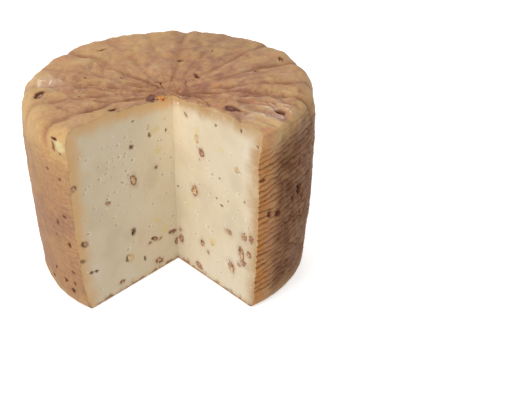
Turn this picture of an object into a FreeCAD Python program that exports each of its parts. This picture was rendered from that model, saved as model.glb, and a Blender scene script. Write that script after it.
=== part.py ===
"""A tall wheel of ewe's-milk cheese with walnuts, with one wedge cut out of it.

The wheel was drained in a ribbed basket under a gathered cloth. So its side carries wavy
level ribs, its top is drawn into folds that run out from the middle and over the shoulder,
and its foot is flat. The knife went in down both sides of a wedge that meets a little in
front of the middle, and left two plain upright faces.

Millimetres. +Z is up, the origin is the middle of the flat foot, and the notch opens
towards -Y.
"""

import FreeCAD, Part
import Sketcher

import math
import os

doc = FreeCAD.newDocument("cheese_wheel")

# ---------------------------------------------------------------- driving dimensions
SIZES = {
    # the wheel's outline, over the crests of its folds and ribs
    "wheel_diameter": 200.0,
    "wheel_height": 140.2,
    "foot_diameter": 189.6,
    "side_bulge": 2.3,
    "shoulder_width": 11.0,
    "shoulder_drop": 13.0,
    "foot_round_width": 5.5,
    "foot_round_height": 11.0,
    # the dish that the knot of the cloth left in the top
    "navel_depth": 8.5,
    "navel_radius": 75.0,
    # the lean of the top, which is a little higher at the back right
    "top_swell": 1.8,
    "top_swell_bearing": 40.0,
    # the lips: the shoulder is squarer and stands out over the side beside each cut
    "right_lip_swell": 4.5,
    "right_lip_bearing": 318.0,
    "left_lip_swell": 2.5,
    "left_lip_bearing": 228.0,
    "lip_spread": 16.0,
    "lip_drop": 9.0,
    "lip_height": 12.0,
    "lip_fullness": 3.0,
    # the folds of the cloth
    "fold_count": 18.0,
    "fold_first_bearing": 8.0,
    "fold_depth": 2.6,
    "fold_swirl": 5.0,
    "fold_run_down": 24.0,
    "pleat_depth": 0.9,
    # the ribs of the basket
    "rib_pitch": 4.2,
    "rib_depth": 1.2,
    "rib_wander": 1.3,
    "rib_clear_of_foot": 5.0,
    "side_dimple": 0.8,
    # the cut
    "notch_forward": 7.0,
    "notch_aside": 2.8,
    "notch_left_angle": 36.6,
    "notch_right_angle": 42.8,
    "knife_overrun": 12.0,
    # spacing of the points that the skin is drawn through
    "bearing_step": 3.0,
    "top_step": 4.0,
    "points_per_rib": 4.0,
    "points_round_edge": 7.0,
}

sheet = doc.addObject("Spreadsheet::Sheet", "sizes")
for row, (alias, value) in enumerate(SIZES.items(), start=1):
    sheet.set(f"A{row}", alias)
    sheet.set(f"B{row}", str(value))
    sheet.setAlias(f"B{row}", alias)
doc.recompute()


def size(alias):
    """The value that the sheet holds for one driving dimension."""
    return float(sheet.get(alias))


# how far each crease strays from its even place round the wheel, in degrees
FOLD_STRAYS = (-6, -5, -1, 0, 0, 0, -1, 0, 2, 0, -1, -3, -7, -6, -3, 3, -1, -2)

# shares of the flat top's radius at which the folds start, settle and begin to deepen
FOLDS_START = 0.04
FOLDS_SETTLE = 0.25
FOLDS_DEEPEN = 0.3
DEPTH_BEFORE_DEEPENING = 0.25
# a lobe is fuller than half a sine wave, so that the crease beside it is narrow
LOBE_FULLNESS = 0.6
LOBE_UNEVENNESS = 0.2
# share of the shoulder's drop that the folds keep their depth over
FOLDS_HOLD = 0.4

# the ribs are deepest on one side of the wheel, and fade in this far from the shoulder
DEEPEST_RIBS_BEARING = 10.0
RIB_MEAN_STRENGTH = 0.65
RIBS_BEGIN_ABOVE = 4.0
RIBS_FULL_BELOW = 8.0
# height of one turn of the dimples' drift round the side, per radian
DIMPLE_DRIFT = 23.0


# ---------------------------------------------------------------- small helpers
def ease(value, start, end):
    """Rises smoothly from 0 at start to 1 at end."""
    share = min(max((value - start) / (end - start), 0.0), 1.0)
    return share * share * (3.0 - 2.0 * share)


def bell(distance, width):
    """1 where distance is nought, and close to 0 beyond twice the width."""
    return math.exp(-((distance / width) ** 2))


def ripple(bearing, waves, phase):
    """An uneven wave round the wheel, between -1 and 1, that closes on itself."""
    slow_share = 0.65
    angle = math.radians(bearing)
    slow = math.sin(waves * angle + phase)
    quick = math.sin((2 * waves + 1) * angle + 2.3 * phase)
    return slow_share * slow + (1 - slow_share) * quick


# ---------------------------------------------------------------- the wheel's outline
def outline():
    """Stations (radius, height, normal out, normal up) from the middle of the top to the foot."""
    crest_radius = size("wheel_diameter") / 2
    foot_radius = size("foot_diameter") / 2
    top = size("wheel_height")
    shoulder_width = size("shoulder_width")
    shoulder_drop = size("shoulder_drop")
    foot_width = size("foot_round_width")
    foot_height = size("foot_round_height")
    edge_points = int(size("points_round_edge"))
    flat_radius = crest_radius - shoulder_width
    side_top = top - shoulder_drop
    side_length = side_top - foot_height

    stations = []
    top_points = round(flat_radius / size("top_step"))
    for step in range(top_points):
        stations.append((flat_radius * step / top_points, top, 0.0, 1.0))
    for step in range(edge_points):
        turn = math.pi / 2 * step / edge_points
        radius = flat_radius + shoulder_width * math.sin(turn)
        height = side_top + shoulder_drop * math.cos(turn)
        stations.append((radius, height, math.sin(turn), math.cos(turn)))
    side_points = round(side_length / size("rib_pitch") * size("points_per_rib"))
    for step in range(side_points):
        share = step / side_points
        bulge = 4 * size("side_bulge") * share * (1 - share)
        radius = crest_radius + (foot_radius - crest_radius) * share + bulge
        stations.append((radius, side_top - side_length * share, 1.0, 0.0))
    for step in range(edge_points + 1):
        turn = math.pi / 2 * step / edge_points
        radius = foot_radius - foot_width + foot_width * math.cos(turn)
        height = foot_height - foot_height * math.sin(turn)
        stations.append((radius, height, math.cos(turn), 0.0))
    return stations


# ---------------------------------------------------------------- folds and ribs
def crease_bearing(number):
    """The bearing of one crease. Creases are even round the wheel but for a small stray."""
    count = int(size("fold_count"))
    stray = FOLD_STRAYS[number % count % len(FOLD_STRAYS)]
    return size("fold_first_bearing") + 360.0 / count * number + stray


CREASES = [crease_bearing(number) for number in range(-1, int(size("fold_count")) + 2)]


def fold_place(bearing):
    """Which lobe a bearing falls in, and how far across it from one crease to the next."""
    wrapped = (bearing - CREASES[1]) % 360.0 + CREASES[1]
    for number in range(1, len(CREASES) - 1):
        if wrapped < CREASES[number + 1]:
            width = CREASES[number + 1] - CREASES[number]
            return number, (wrapped - CREASES[number]) / width
    return 1, 0.0


def fold_hollow(bearing, radius, height):
    """How far the skin lies under the crests of the folds here."""
    top = size("wheel_height")
    flat_radius = size("wheel_diameter") / 2 - size("shoulder_width")
    swirl = size("fold_swirl") * (1 - radius / flat_radius) * ripple(bearing, 3, 0.7)
    lobe, across = fold_place(bearing + swirl)
    dome = math.sin(math.pi * across) ** LOBE_FULLNESS
    pleat = abs(math.sin(math.pi * (2 + lobe % 2) * across + 0.6 * math.sin(lobe)))
    unevenness = 1 - LOBE_UNEVENNESS + LOBE_UNEVENNESS * math.sin(1.9 * lobe)
    deepening = ease(radius, FOLDS_DEEPEN * flat_radius, flat_radius)
    grows_out = DEPTH_BEFORE_DEEPENING + (1 - DEPTH_BEFORE_DEEPENING) * deepening
    off_middle = ease(radius, FOLDS_START * flat_radius, FOLDS_SETTLE * flat_radius)
    runs_out = 1 - ease(top - height, FOLDS_HOLD * size("shoulder_drop"), size("fold_run_down"))
    depth = size("fold_depth") * unevenness * (1 - dome) + size("pleat_depth") * (1 - pleat)
    return depth * grows_out * off_middle * runs_out


def rib_hollow(bearing, height):
    """How deep the grooves between the basket's ribs are here."""
    top_of_ribs = size("wheel_height") - size("shoulder_drop")
    foot_of_ribs = size("rib_clear_of_foot")
    wander = size("rib_wander") * ripple(bearing, 4, 1.1)
    turns = (height + wander) / size("rib_pitch")
    groove = 0.5 + 0.5 * math.cos(2 * math.pi * turns)
    one_sided = math.cos(math.radians(bearing - DEEPEST_RIBS_BEARING))
    strength = RIB_MEAN_STRENGTH + (1 - RIB_MEAN_STRENGTH) * one_sided
    fade_in = ease(top_of_ribs - height, -RIBS_BEGIN_ABOVE, RIBS_FULL_BELOW)
    fade_out = ease(height, foot_of_ribs, 3 * foot_of_ribs)
    return size("rib_depth") * groove * strength * fade_in * fade_out


def lip_nearness(bearing, side):
    """1 at the middle of the left or the right lip, and close to 0 well away from it."""
    turn = (bearing - size(f"{side}_lip_bearing") + 180.0) % 360.0 - 180.0
    return bell(turn, size("lip_spread"))


def lip_swell(bearing, height):
    """How far the shoulder stands out over the side here, beside the two cuts."""
    level = height - size("wheel_height") + size("lip_drop")
    total = 0.0
    for side in ("left", "right"):
        total += size(f"{side}_lip_swell") * lip_nearness(bearing, side)
    return total * bell(level, size("lip_height"))


def lip_filling(bearing, out, up):
    """How far the round of the shoulder is filled out towards a square corner here."""
    nearness = max(lip_nearness(bearing, "left"), lip_nearness(bearing, "right"))
    return size("lip_fullness") * nearness * 2 * out * up


def skin_point(bearing, station):
    """The point of the finished skin at one bearing, on one station of the outline."""
    radius, height, out, up = station
    flat_radius = size("wheel_diameter") / 2 - size("shoulder_width")
    share_of_top = min(radius / flat_radius, 1.0)
    hollow = fold_hollow(bearing, radius, height)
    navel = size("navel_depth") * (1 - ease(radius, 0.0, size("navel_radius")))
    if out > 0:
        hollow += rib_hollow(bearing, height)
        dimple = 0.5 + 0.5 * ripple(bearing, 5, height / DIMPLE_DRIFT)
        hollow += size("side_dimple") * dimple * out
    lean = math.cos(math.radians(bearing - size("top_swell_bearing")))
    on_top = ease(height, size("wheel_height") / 2, size("wheel_height"))
    sunk = size("top_swell") * (0.5 - 0.5 * lean * share_of_top) * on_top
    filling = lip_filling(bearing, out, up)
    radius += (lip_swell(bearing, height) - hollow + filling) * out
    height += (filling - hollow - navel) * up - sunk
    angle = math.radians(bearing)
    return FreeCAD.Vector(radius * math.cos(angle), radius * math.sin(angle), height)


def whole_wheel():
    """The wheel before it was cut: one folded and ribbed skin, closed by the flat foot."""
    stations = outline()
    columns = round(360.0 / size("bearing_step"))
    net = []
    for column in range(columns):
        bearing = 360.0 * column / columns
        net.append([skin_point(bearing, station) for station in stations])

    # cubic both ways: closed on itself round the wheel, clamped at the middle and at the foot
    round_knots = list(range(columns + 1))
    round_multiplicities = [1] * len(round_knots)
    down_knots = list(range(len(stations) - 2))
    down_multiplicities = [4] + [1] * (len(down_knots) - 2) + [4]
    surface = Part.BSplineSurface()
    surface.buildFromPolesMultsKnots(
        net, round_multiplicities, down_multiplicities, round_knots, down_knots, True, False, 3, 3
    )
    skin = surface.toShape()

    rims = [edge for edge in skin.Edges if edge.Closed and not edge.Degenerated]
    foot = Part.Face(Part.Wire(rims))
    shell = Part.makeShell([skin, foot])
    shell.sewShape()
    return Part.makeSolid(shell)


wheel = doc.addObject("Part::Feature", "whole_wheel")
wheel.Label = "whole_wheel"
wheel.Shape = whole_wheel()


# ---------------------------------------------------------------- the cut
def origin_plane(body, role):
    """One of a body's own base planes."""
    for feature in body.Origin.OriginFeatures:
        if feature.Role == role:
            return feature
    raise RuntimeError(f"{body.Name} has no {role}")


def wedge_cutter():
    """The wedge that was taken out, wider and higher than the wheel so that it cuts clean through."""
    body = doc.addObject("PartDesign::Body", "wedge_cutter")
    body.Label = "wedge_cutter"
    sketch = body.newObject("Sketcher::SketchObject", "wedge_plan")
    sketch.AttachmentSupport = [(origin_plane(body, "XY_Plane"), "")]
    sketch.MapMode = "FlatFace"

    # a triangle in plan: the notch's inner corner and the ends of its left and right sides
    reach = size("wheel_diameter")
    corner = FreeCAD.Vector(size("notch_aside"), -size("notch_forward"), 0)
    left_end = corner + FreeCAD.Vector(-reach, -reach, 0)
    right_end = corner + FreeCAD.Vector(reach, -reach, 0)
    left_side = sketch.addGeometry(Part.LineSegment(corner, left_end), False)
    far_side = sketch.addGeometry(Part.LineSegment(left_end, right_end), False)
    right_side = sketch.addGeometry(Part.LineSegment(right_end, corner), False)
    sketch.addConstraint(Sketcher.Constraint("Coincident", left_side, 2, far_side, 1))
    sketch.addConstraint(Sketcher.Constraint("Coincident", far_side, 2, right_side, 1))
    sketch.addConstraint(Sketcher.Constraint("Coincident", right_side, 2, left_side, 1))
    sketch.addConstraint(Sketcher.Constraint("Horizontal", far_side))

    # each distance runs from its first point to its second, and the sheet drives it
    origin = (-1, 1)
    inner_corner = (left_side, 1)
    distances = [
        ("aside", "DistanceX", origin, inner_corner, "sizes.notch_aside"),
        ("forward", "DistanceY", inner_corner, origin, "sizes.notch_forward"),
        ("reach", "DistanceY", (far_side, 1), inner_corner, "sizes.wheel_diameter"),
        (
            "left_spread",
            "DistanceX",
            (far_side, 1),
            inner_corner,
            "sizes.wheel_diameter * tan(sizes.notch_left_angle * 1 deg)",
        ),
        (
            "right_spread",
            "DistanceX",
            inner_corner,
            (far_side, 2),
            "sizes.wheel_diameter * tan(sizes.notch_right_angle * 1 deg)",
        ),
    ]
    for name, kind, start, end, expression in distances:
        index = sketch.addConstraint(Sketcher.Constraint(kind, *start, *end, reach))
        sketch.renameConstraint(index, name)
        sketch.setExpression(f"Constraints.{name}", expression)

    pad = body.newObject("PartDesign::Pad", "wedge")
    pad.Profile = sketch
    pad.setExpression("Length", "sizes.wheel_height + 2 * sizes.knife_overrun")
    body.setExpression(".Placement.Base.z", "-sizes.knife_overrun")
    return body


cheese = doc.addObject("Part::Cut", "cheese_wheel")
cheese.Label = "cheese_wheel"
cheese.Base = wheel
cheese.Tool = wedge_cutter()
doc.recompute()

# ---------------------------------------------------------------- test and write
for item in doc.Objects:
    if "Invalid" in item.State or "Error" in item.State:
        raise RuntimeError(f"{item.Label} failed: {item.State}")

os.makedirs("parts", exist_ok=True)
for part in [cheese]:
    shape = part.Shape
    if shape.isNull() or not shape.isValid():
        raise RuntimeError(f"{part.Label} is not a sound solid")
    if len(shape.Solids) != 1:
        raise RuntimeError(f"{part.Label} has {len(shape.Solids)} solids")
    shape.exportStep(f"parts/{part.Label}.step")
    print(f"{part.Label}: {shape.Volume / 1e6:.3f} litres, box {shape.BoundBox}")
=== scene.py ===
"""Looks of a walnut pecorino wheel with one wedge cut out.

The rind is drawn as two closed bodies, the gathered top and the ribbed side. Each cut face is a
slab of paste set into them, so that the rind shows as a line round it. Walnut chips, pale
kernels and milk crystals are pieces of their own, pressed into the faces and the rind.

Lengths are millimetres until a mesh is made. +Z is up and the notch opens towards -Y. A bearing
is in degrees about +Z from +X. In the formulas of the rind, b is a point's bearing, r its radius
about the axis and z its height. The last two numbers given to ease and fade, or named a rim, are
where a change starts and where it ends.
"""

import math
from types import SimpleNamespace

import bpy
import numpy as np
from mathutils import Matrix, Vector


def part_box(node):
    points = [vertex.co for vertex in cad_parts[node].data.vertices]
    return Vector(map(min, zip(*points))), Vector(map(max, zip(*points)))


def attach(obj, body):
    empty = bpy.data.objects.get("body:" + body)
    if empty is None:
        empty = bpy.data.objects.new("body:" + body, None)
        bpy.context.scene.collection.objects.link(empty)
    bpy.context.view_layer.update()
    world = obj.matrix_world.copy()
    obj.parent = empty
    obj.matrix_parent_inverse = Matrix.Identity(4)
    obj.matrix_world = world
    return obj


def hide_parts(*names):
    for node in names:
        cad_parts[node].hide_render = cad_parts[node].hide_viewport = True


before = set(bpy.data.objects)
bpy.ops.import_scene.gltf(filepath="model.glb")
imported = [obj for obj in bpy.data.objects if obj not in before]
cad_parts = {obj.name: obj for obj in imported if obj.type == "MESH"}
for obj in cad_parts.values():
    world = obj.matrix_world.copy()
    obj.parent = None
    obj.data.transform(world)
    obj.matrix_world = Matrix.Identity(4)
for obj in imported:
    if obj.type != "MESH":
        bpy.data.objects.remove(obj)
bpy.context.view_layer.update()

NODE = "cheese_wheel"
MM = 0.001
low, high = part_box(NODE)

# ---- sizes of the wheel
CREST_RISE = 1.1  # of the highest crest over the plain top
CREST_RADIUS = (high.x - low.x) / 2 / MM
TOP = high.z / MM - CREST_RISE
FOOT_RADIUS = 0.948 * CREST_RADIUS
SIDE_BULGE = 2.3
SHOULDER_WIDTH = 11
SHOULDER_DROP = 13
FOOT_ROUND_WIDTH = 5.5
FOOT_ROUND_HEIGHT = 11
NAVEL_DEPTH = 8.5
NAVEL_RADIUS = 75
TOP_SWELL = 1.8
TOP_SWELL_BEARING = 65
LIPS = ((316, 6, 1), (230, 3, 0.3))  # bearing, swell and squareness of each cut's lip
LIP_SPREAD = 16
LIP_DROP = 5
LIP_HEIGHT = 13
FOLD_DEPTH = 2.6
FOLD_SWIRL = 5
FOLD_RUN_DOWN = 24
PLEAT_DEPTH = 0.9
RIB_PITCH = 4.2
RIB_DEPTH = 1.5
RIB_WANDER = 1.3
RIB_CLEAR_OF_FOOT = 5
SIDE_DIMPLE = 0.8
CORNER = (2.8, -7)  # the notch's inner corner in plan

FLAT_RADIUS = CREST_RADIUS - SHOULDER_WIDTH
SIDE_TOP = TOP - SHOULDER_DROP
SEAM = SIDE_TOP - 6  # where the top's body ends and the side's begins
DEGREE = CREST_RADIUS * math.pi / 180  # length of one degree round the side

# ---- sizes of the cut faces
RIND = 2.2  # width of the rim of rind that each cut face is set into
RIM_SINK = 0.02  # how far that rim lies behind the knife's plane
POCKET_DEPTH = 3.5  # of the hollow in the rind behind a face
POCKET_DISH = 0.05
SLAB_DEPTH = 2.6
SLAB_TAPER = 0.03
OVERLAP = 1.5  # how far a slab runs past the notch's corner
OUTLINE_STEP = 0.4

# ---- how finely the meshes are made
COLUMNS = 520
TOP_ROWS = 112
SHOULDER_ROWS = 28
SIDE_ROWS = 152
FOOT_ROWS = 16
SEAM_ROWS = 9
INNER_SHARES = (0.7, 0.35)
SOLE_SHARES = (0.97, 0.9, 0.7, 0.4)
FACE_GRID = (216, 310)
OUTLINE_ROWS = (180, 60, 420, 30)  # of a cut face: along the top, shoulder, side and foot
SPOKES, RINGS = 30, 5  # of a chip
RING_SHARES = np.arange(1, RINGS + 1) / RINGS
LUMP_DEPTH = 1.2

# bearings of the creases between the folds, and how deep each crease is
CREASES = (2, 23, 47, 68, 88, 108, 127, 148, 170, 188, 207, 225, 243, 262, 285, 303, 327, 346)
CREASE_SHARES = np.array([
    1.1, 0.9, 0.5, 1, 0.5, 0.6, 1.2, 0.6, 1.1, 0.7, 1.3, 0.7, 0.5, 0.5, 0.5, 0.5, 1.3, 1.3,
])

# ---- marks in the rind
# pits in the top: bearing, radius, length, width, depth, turn from the radius
TOP_PITS = (
    (86, 43, 4.5, 2.2, 1.6, 70), (137, 75, 9, 2.6, 1.6, 80), (198, 87, 13, 4.6, 2, 60),
    (235, 54, 8, 3.6, 1.6, 20), (28, 85, 6, 3, 1.2, 80), (50, 27, 7, 3, 1.8, 70),
    (125, 15, 6, 1.6, 1.8, 75), (150, 13, 4, 1.6, 1.2, 60), (317, 63, 11, 8.5, 0.9, 15),
    (237, 18, 13, 7, 0.7, 35), (340, 57, 5, 2.2, 1.2, 75), (20, 62, 6, 1.8, 0.9, 80),
    (205, 62, 3, 1.6, 0.9, 40), (176, 58, 2.4, 1.4, 0.8, 30), (330, 88, 4.5, 3.5, 1.2, 0),
    (160, 36, 2.6, 1.4, 0.9, 10), (65, 60, 2.4, 1.2, 0.8, 20),
)
# pits in the side: bearing, height, width, height of the pit, depth
SIDE_PITS = (
    (336, 78, 6.4, 8, 4.4), (331, 75, 4, 7, 1.6), (340, 70, 4, 8, 2), (321, 71, 4.4, 4.8, 1.5),
    (330, 60, 4, 4.5, 1.8), (316.4, 73.4, 2.8, 4.2, 1), (335, 99, 3.4, 4.5, 1.5), (338, 58, 3, 3, 0.9),
    (313, 101, 3.4, 2.2, 0.8), (227, 66, 2.2, 4, 1), (225, 17, 3.2, 3.4, 1.8), (219, 23, 2.6, 2.4, 1.2),
    (229, 11, 4, 2.6, 1.4), (231.5, 19, 2.6, 3.4, 1.2), (214, 12, 3.4, 2.2, 1.2),
    (225, 106, 2.4, 2.4, 0.9), (232, 102, 1.8, 1.8, 0.8), (225, 55, 1.6, 1.6, 0.8),
    (233, 52, 3, 3.4, 1.2), (232, 73, 4, 2.2, 0.9), (232, 29, 4, 2, 1), (231.6, 130.5, 5, 2.4, 1.8),
    (230.4, 125, 1.8, 5, 1), (233.6, 122, 1.8, 1.4, 1), (20, 88, 4, 3, 1.6), (55, 49, 3.2, 4.4, 1.6),
    (74, 104, 3, 2.4, 1), (96, 66, 4.6, 3, 1.8), (121, 34, 3, 3, 1.2), (138, 92, 4, 3, 1.4),
    (163, 58, 3.4, 5, 1.6), (186, 99, 2.6, 2.6, 1), (197, 41, 3.6, 2.6, 1.2),
)
# chips and coloured flecks in the top: bearing, radius, length, width, turn from the radius
TOP_CHIPS = ((198, 87, 9, 2.6, 60), (235, 54, 5, 2.4, 20), (28, 85, 4.6, 2, 80), (137, 75, 5, 1.4, 80))
TOP_LUMPS = ((237, 18, 11, 5.6, 35), (317, 63, 8.5, 7, 15))
TOP_FLECKS = (
    (250, 14, 5, 3.4, 60), (257, 11.5, 3.4, 2.4, 20), (244, 16.5, 3, 2.2, 0), (262, 14, 2, 1.4, 0),
)
# chips and flecks in the side: bearing, height, width, height of the chip
SIDE_CHIPS = ((330, 60, 2.6, 3), (225, 17, 2, 2.2), (55, 49, 2, 3), (96, 66, 3, 2), (138, 92, 2.6, 2))
SIDE_FLECKS = ((313, 101, 2.2, 1.4), (315, 84, 1.4, 1))

# ---- marks in the cut faces
# holes: distance from the notch's corner, height, width, height of the hole, depth, lean
LEFT_HOLES = (
    (42.5, 41, 5, 6.4, 3, 10), (23, 26.7, 8.5, 3, 1.6, 30), (5.3, 24.6, 8, 3, 1.6, 12),
    (0.5, 14.5, 5, 5, 2, 0), (88, 52, 8, 4.4, 0.7, 30), (83.6, 28, 4, 2.4, 1.6, 20),
    (79, 27, 4, 2.4, 1.2, 20), (90.8, 40, 5, 2.6, 1.4, 25), (93.4, 95.6, 5, 3.4, 1.2, 0),
    (64.5, 73, 4.6, 2.6, 0.8, 15), (40.5, 105.7, 4.4, 3.6, 0.9, 0), (7.1, 105.7, 2.2, 2.8, 1, 0),
    (23, 108, 3, 4.6, 1, -25), (37.5, 123.4, 3, 1.4, 0.7, 0), (33.5, 15.2, 2.6, 4.4, 1.2, -10),
    (49.3, 23, 6, 6, 0.6, 0),
)
RIGHT_HOLES = (
    (52.6, 66, 3.6, 2.2, 1.4, 0), (3.3, 60.8, 2.6, 1.8, 1, 0), (60, 72.2, 2, 2, 0.8, 0),
    (47.4, 69.8, 2.2, 2.2, 0.8, 0), (77.6, 79.4, 2, 2, 0.7, 0), (51.3, 86.3, 1.8, 1.8, 0.7, 0),
    (48.4, 124, 3, 2.4, 0.8, 30), (69.7, 100, 4.6, 4, 0.8, 20), (17, 130.8, 3.4, 1.6, 0.8, 0),
    (75, 129.8, 2.4, 3, 0.8, 0), (91.4, 124.7, 2.6, 2.4, 0.8, 0),
)
# walnut chips: distance from the notch's corner, height, width, height of the chip, lean
LEFT_CHIPS = (
    (40.5, 80.6, 5.6, 9.6, -20), (23, 26.7, 5, 2.6, 30), (17.5, 24.6, 3, 2.2, 0),
    (5.3, 24.6, 8, 2.8, 12), (0.6, 15, 5, 5, 0), (28, 25.6, 3, 2, 0), (87, 52, 4.6, 3, 30),
    (90.8, 40, 5, 2.4, 25), (44.2, 43.6, 2.4, 2, 0), (19.7, 7.3, 8, 4.4, 25), (56.6, 7.3, 6, 3, 0),
    (93, 95.6, 5, 4, 0), (64.5, 73, 4.6, 2.4, 15), (18.4, 82, 3, 2.4, 0),
)
RIGHT_CHIPS = (
    (32, 98.2, 6.4, 6.6, 25), (23, 65.5, 7.6, 8.4, 0), (15.8, 120.5, 4.4, 1.8, -35),
    (60.5, 49, 7, 4.4, -10), (77, 52.6, 7, 7, 20), (84.5, 54, 6, 6.4, 0), (73.6, 38.5, 6.4, 11, 10),
    (75.5, 31.5, 7, 5, 0), (82, 41, 5, 5.4, 0), (62.9, 22.4, 6.4, 10, 20), (30.3, 26.7, 5, 5.6, 25),
    (36.8, 21.8, 3, 3, 20), (5, 19, 6, 7, 0), (4.2, 25.6, 3, 3.4, 0), (25.7, 6, 8, 4.6, -20),
    (71, 28, 4, 3, 0),
)
# pale kernels, in the same way
LEFT_KERNELS = (
    (40.9, 81, 3, 6.4, -20), (24, 114, 2.6, 4, 25), (47, 22, 5.6, 6, 0), (19.4, 7.6, 3.4, 1.6, 25),
)
RIGHT_KERNELS = (
    (27.6, 107, 5, 7, 0), (41.4, 31.7, 3.6, 6, 0), (69.7, 100, 4, 3.4, 0), (30, 92, 2.6, 2, 0),
    (23.4, 64.6, 4.6, 4.6, 0), (63.6, 20, 3.4, 5.4, 20), (74.6, 36.6, 3, 5, 10),
    (79.2, 55.4, 2.6, 2, 0),
)
# yellow spots, in the same way
LEFT_LEMONS = ((16.4, 93.5, 3.6, 4, 0), (21, 41, 6, 1.6, 30), (17, 110, 6, 3, 0), (12, 30, 4, 4, 0))
RIGHT_LEMONS = ((12.9, 52, 4, 3.2, 0), (54, 108.3, 4, 1.6, 0), (28, 113, 3, 3, 0), (44, 33, 3, 5, 0))


# ---- small helpers
def ease(value, start, end):
    """0 up to start, 1 from end on, and a smooth rise between them."""
    share = np.clip((value - start) / (end - start), 0, 1)
    return share * share * (3 - 2 * share)


def fade(value, start, end):
    """1 up to start, 0 from end on, and a smooth fall between them."""
    return 1 - ease(value, start, end)


def bell(distance, width):
    return np.exp(-((distance / width) ** 2))


def turned(b, centre):
    """Signed angle to a bearing from another, between -180 and 180 degrees."""
    return (b - centre + 180) % 360 - 180


def about(b, centre, width):
    """1 at the bearing called centre, falling to 0 on both sides of it."""
    return bell(turned(b, centre), width)


def plan(b, r):
    """The point in plan at a bearing and a radius."""
    angle = np.radians(b)
    return r * np.cos(angle), r * np.sin(angle)


TABLE_SIZE = 512  # a power of two
TABLE = np.random.default_rng(11).permutation(TABLE_SIZE)
GRADIENTS = np.random.default_rng(12).normal(size=(TABLE_SIZE, 3))
GRADIENTS /= np.linalg.norm(GRADIENTS, axis=1)[:, None]


def noise(x, y, z, size=1, shift=0):
    """Smooth noise in space, about -1 to 1, with lumps of a size. Another shift has other lumps."""
    point = np.stack(np.broadcast_arrays(x / size, y / size, z / size + shift))
    cell = np.floor(point).astype(int)
    part = point - cell
    fade_in = part**3 * (part * (part * 6 - 15) + 10)
    total = 0
    for corner in np.ndindex(2, 2, 2):
        key, weight = 0, 1
        for axis, step in enumerate(corner):
            key = TABLE[(key + cell[axis] + step) & (TABLE_SIZE - 1)]
            weight = weight * (fade_in[axis] if step else 1 - fade_in[axis])
        slope = sum(GRADIENTS[key, axis] * (part[axis] - corner[axis]) for axis in range(3))
        total = total + weight * slope
    return 1.6 * total


def rough(x, y, z, octaves):
    """Noise with finer and finer detail."""
    total = 0
    for octave in range(octaves):
        step = 2**octave
        total = total + noise(x * step + 7.1 * octave, y * step, z * step - 3.7 * octave) / step
    return total


def pillow(value, width):
    """1 in the trough where value crosses nought, falling to 0 on the bulges beside it."""
    return np.clip(1 - np.abs(value) / width, 0, 1) ** 2


def ripple(b, waves, phase):
    """An uneven wave that closes on itself round the wheel."""
    angle = np.radians(b)
    slow = np.sin(waves * angle + phase)
    quick = np.sin((2 * waves + 1) * angle + 2.3 * phase)
    return 0.65 * slow + 0.35 * quick


def linear(red, green, blue):
    """A colour in linear light from its 0 to 255 screen values."""
    value = np.array([red, green, blue]) / 255.0
    return np.where(value <= 0.04045, value / 12.92, ((value + 0.055) / 1.055) ** 2.4)


def layered(colour, *layers):
    """The colour with others laid over it in turn. Each layer is a colour and its share."""
    for over, share in layers:
        share = np.clip(share, 0, 1)[..., None]
        colour = colour * (1 - share) + over * share
    return colour


def spot(u, v, width, tall, lean=0):
    """Distance from a leaning oval's middle, counted so that its edge is at 1."""
    turn = math.radians(lean)
    along = u * math.cos(turn) + v * math.sin(turn)
    across = v * math.cos(turn) - u * math.sin(turn)
    return np.hypot(along / (width / 2), across / (tall / 2))


def pits(spots, depth_rim, dark_rim):
    """Depth and darkness of pits. Each spot is the distance from a pit and how deep it is."""
    depth, dark = 0, 0
    for distance, deep in spots:
        depth = np.maximum(depth, deep * fade(distance, *depth_rim))
        dark = np.maximum(dark, fade(distance, *dark_rim))
    return depth, dark


# ---- relief of the rind
def top_pits(x, y):
    edge = 0.35 * noise(x, y, 0, 1.8, 0.5)
    spots = []
    for bearing, radius, length, width, deep, turn in TOP_PITS:
        at_x, at_y = plan(bearing, radius)
        spots.append((spot(x - at_x, y - at_y, length, width, bearing + turn) + edge, deep))
    return pits(spots, (0.35, 1.15), (0.55, 1.45))


def side_pits(b, z):
    """Depth and darkness of the pits in the side, and the blackish painted shade in the deep ones. Deep
    ones have steep walls.
    """
    depth, dark, black_shade = 0, 0, 0
    edge = 0.35 * noise(b * DEGREE / 1.8, z / 1.8, 4.5)
    for at, level, width, tall, deep in SIDE_PITS:
        distance = spot(turned(b, at) * DEGREE, z - level, width, tall) + edge
        steep = ease(deep, 1.7, 3)
        depth = np.maximum(depth, deep * fade(distance, 0.3 + 0.3 * steep, 1.25))
        dark = np.maximum(dark, fade(distance, 0.7, 1.6))
        # painted shade in the deep, steep pits
        black_shade = np.maximum(black_shade, fade(distance, 0.9, 1.35) * steep)
    return depth, dark, black_shade


def pale_patch(b, z):
    """A smooth pale bubble in the shoulder beside the left cut, next to a torn crack."""
    across = turned(b, 234.2) * DEGREE
    distance = np.hypot((across + 0.1 * (z - 127)) / 4.2, (z - 127) / 5)
    return fade(distance + 0.2 * noise(across, z, 0, 2, 2.5), 0.6, 1.15)


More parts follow.
